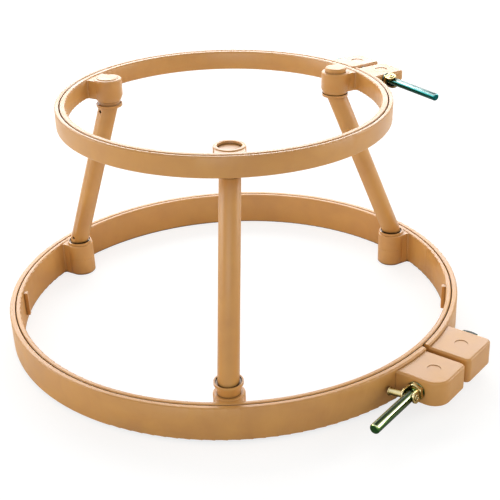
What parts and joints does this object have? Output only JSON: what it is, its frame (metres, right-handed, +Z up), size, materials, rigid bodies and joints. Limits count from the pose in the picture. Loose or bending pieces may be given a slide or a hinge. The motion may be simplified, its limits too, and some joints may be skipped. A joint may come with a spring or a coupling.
{
  "type": "embroidery lap stand",
  "caption": "Tan plastic embroidery lap stand: a large base hoop, splayed legs and a smaller work hoop, each hoop clamped by a bolt with a folding metal handle.",
  "frame": {"origin": "centre of the base hoop on the surface it rests on", "axes": "+Z up out of the work hoop, -Y towards the sitter at the front leg, +X to the sitter's right"},
  "size_m": [0.3737, 0.3868, 0.1928],
  "materials": {
    "moulded_plastic": "tan moulded plastic with a satin skin",
    "plated_steel": "bright zinc plating over turned steel",
    "brass": "machined yellow brass"
  },
  "bodies": {
    "base_hoop": {"base_inner_ring": "moulded_plastic"},
    "base_clamp_hoop": {"base_outer_ring": "moulded_plastic", "base_clamp_bolt": "plated_steel"},
    "base_washer": {"base_clamp_washer": "plated_steel"},
    "base_nut": {"base_swivel_nut": "brass", "base_handle_pin": "brass"},
    "base_handle": {"base_handle": "plated_steel"},
    "legs": {"foot_peg_front": "moulded_plastic", "foot_peg_right": "moulded_plastic", "foot_peg_left": "moulded_plastic", "leg_front": "moulded_plastic", "leg_right": "moulded_plastic", "leg_left": "moulded_plastic", "head_peg_front": "moulded_plastic", "head_peg_right": "moulded_plastic", "head_peg_left": "moulded_plastic"},
    "work_hoop": {"work_inner_ring": "moulded_plastic"},
    "work_clamp_hoop": {"work_outer_ring": "moulded_plastic", "work_clamp_bolt": "plated_steel"},
    "work_washer": {"work_clamp_washer": "plated_steel"},
    "work_nut": {"work_swivel_nut": "brass", "work_handle_pin": "brass"},
    "work_handle": {"work_handle": "plated_steel"}
  },
  "joints": [
    {"name": "base_outer_lift", "type": "slide", "parent": "base_hoop", "child": "base_clamp_hoop", "axis": [0, 0, 1], "range_m": [0, 0.035]},
    {"name": "base_washer_travel", "type": "slide", "parent": "base_clamp_hoop", "child": "base_washer", "axis": [-0.6468, -0.7627, 0], "range_m": [0, 0.003]},
    {"name": "base_nut_turn", "type": "hinge", "parent": "base_washer", "child": "base_nut", "pos_m": [0.12536, -0.15765, 0.017], "axis": [-0.6468, -0.7627, 0], "range_deg": [0, 720]},
    {"name": "base_handle_swing", "type": "hinge", "parent": "base_nut", "child": "base_handle", "pos_m": [0.12014, -0.1638, 0.017], "axis": [-0.7552, 0.6405, -0.1392], "range_deg": [-15, 90]},
    {"name": "legs_lift", "type": "slide", "parent": "base_hoop", "child": "legs", "axis": [0, 0, 1], "range_m": [0, 0.03]},
    {"name": "work_hoop_lift", "type": "slide", "parent": "legs", "child": "work_hoop", "axis": [0.0222, 0, 0.9998], "range_m": [0, 0.03]},
    {"name": "work_outer_lift", "type": "slide", "parent": "work_hoop", "child": "work_clamp_hoop", "axis": [0.0222, 0, 0.9998], "range_m": [0, 0.024]},
    {"name": "work_washer_travel", "type": "slide", "parent": "work_clamp_hoop", "child": "work_washer", "axis": [0.5149, -0.8572, -0.0114], "range_m": [0, 0.002]},
    {"name": "work_nut_turn", "type": "hinge", "parent": "work_washer", "child": "work_nut", "pos_m": [0.13362, 0.04555, 0.18229], "axis": [0.5149, -0.8572, -0.0114], "range_deg": [0, 720]},
    {"name": "work_handle_swing", "type": "hinge", "parent": "work_nut", "child": "work_handle", "pos_m": [0.13696, 0.03998, 0.18221], "axis": [-0.3005, -0.1929, 0.9341], "range_deg": [-35, 90]}
  ],
  "couplings": [
    {"joint": "base_nut_turn", "follows": "base_washer_travel", "rad_per_m": 4188.7},
    {"joint": "work_nut_turn", "follows": "work_washer_travel", "rad_per_m": 6283.1}
  ]
}
